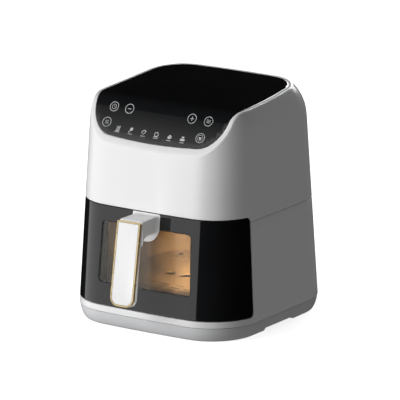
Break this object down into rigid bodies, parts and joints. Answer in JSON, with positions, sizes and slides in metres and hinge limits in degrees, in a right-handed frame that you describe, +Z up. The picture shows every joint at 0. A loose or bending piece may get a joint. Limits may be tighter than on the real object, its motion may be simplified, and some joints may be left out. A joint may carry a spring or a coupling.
{
  "type": "air fryer",
  "caption": "Countertop air fryer with a rounded casing, slanted touch panel and a window drawer that slides out with its basket and lift-out crisper plate.",
  "frame": {"origin": "on the table under the middle of the object's box, handle included", "axes": "+Z up, the drawer and handle face -Y, +X to the right of someone who faces the drawer"},
  "size_m": [0.2656, 0.3158, 0.3101],
  "materials": {
    "white_shell": "satin gloss",
    "black_panel": "high gloss",
    "grey_base": "fine satin",
    "dark_plastic": "fine grain",
    "rubber": "matt",
    "steel": "brushed",
    "element_tube": "heat-dulled oxide",
    "nonstick": "non-stick coating",
    "gold_trim": "polished",
    "clear_glass": "clear",
    "circuit_board": "solder resist",
    "motor_paint": "matt paint"
  },
  "bodies": {
    "housing": {"upper_shell": "white_shell", "top_panel": "black_panel", "lower_shell": "white_shell", "base_tray": "grey_base", "foot_front_left": "rubber", "foot_front_right": "rubber", "foot_rear_left": "rubber", "foot_rear_right": "rubber", "base_screw_front_left": "steel", "base_screw_front_right": "steel", "base_screw_rear_left": "steel", "base_screw_rear_right": "steel", "rear_grille": "dark_plastic", "cord_gland": "rubber", "cavity_liner": "steel", "front_bezel": "dark_plastic", "rail_left": "steel", "rail_right": "steel", "heat_shield": "steel", "heating_element": "element_tube", "element_guard": "steel", "temperature_sensor": "steel", "thermal_cutout": "dark_plastic", "exhaust_duct": "steel", "lamp_housing": "steel", "lamp_lens": "clear_glass", "lamp_bulb": "clear_glass", "motor_bracket": "steel", "fan_motor": "motor_paint", "board_tray": "dark_plastic", "power_board": "circuit_board", "touch_board": "circuit_board", "display_guide": "white_shell", "reed_sensor": "dark_plastic"},
    "drawer": {"drawer_front": "black_panel", "outer_window": "clear_glass", "drawer_frame": "dark_plastic", "drawer_magnet": "steel", "window_seal": "rubber", "inner_window": "clear_glass", "basket": "nonstick", "handle_arm": "white_shell", "handle_trim": "gold_trim", "handle_face": "white_shell", "handle_screw_left": "steel", "handle_screw_right": "steel"},
    "crisper": {"crisper_plate": "nonstick", "plate_bumper_1": "rubber", "plate_bumper_2": "rubber", "plate_bumper_3": "rubber", "plate_bumper_4": "rubber"},
    "rotor": {"motor_shaft": "steel", "hot_air_fan": "steel", "cooling_fan": "dark_plastic", "fan_nut": "steel"}
  },
  "joints": [
    {"name": "drawer_slide", "type": "slide", "parent": "housing", "child": "drawer", "axis": [0, -1, 0], "range_m": [0, 0.2]},
    {"name": "crisper_lift", "type": "slide", "parent": "drawer", "child": "crisper", "axis": [0, 0, 1], "range_m": [0, 0.098]},
    {"name": "fan_spin", "type": "hinge", "parent": "housing", "child": "rotor", "pos_m": [0, 0.01865, 0.2], "axis": [0, 0, 1], "continuous": true}
  ]
}
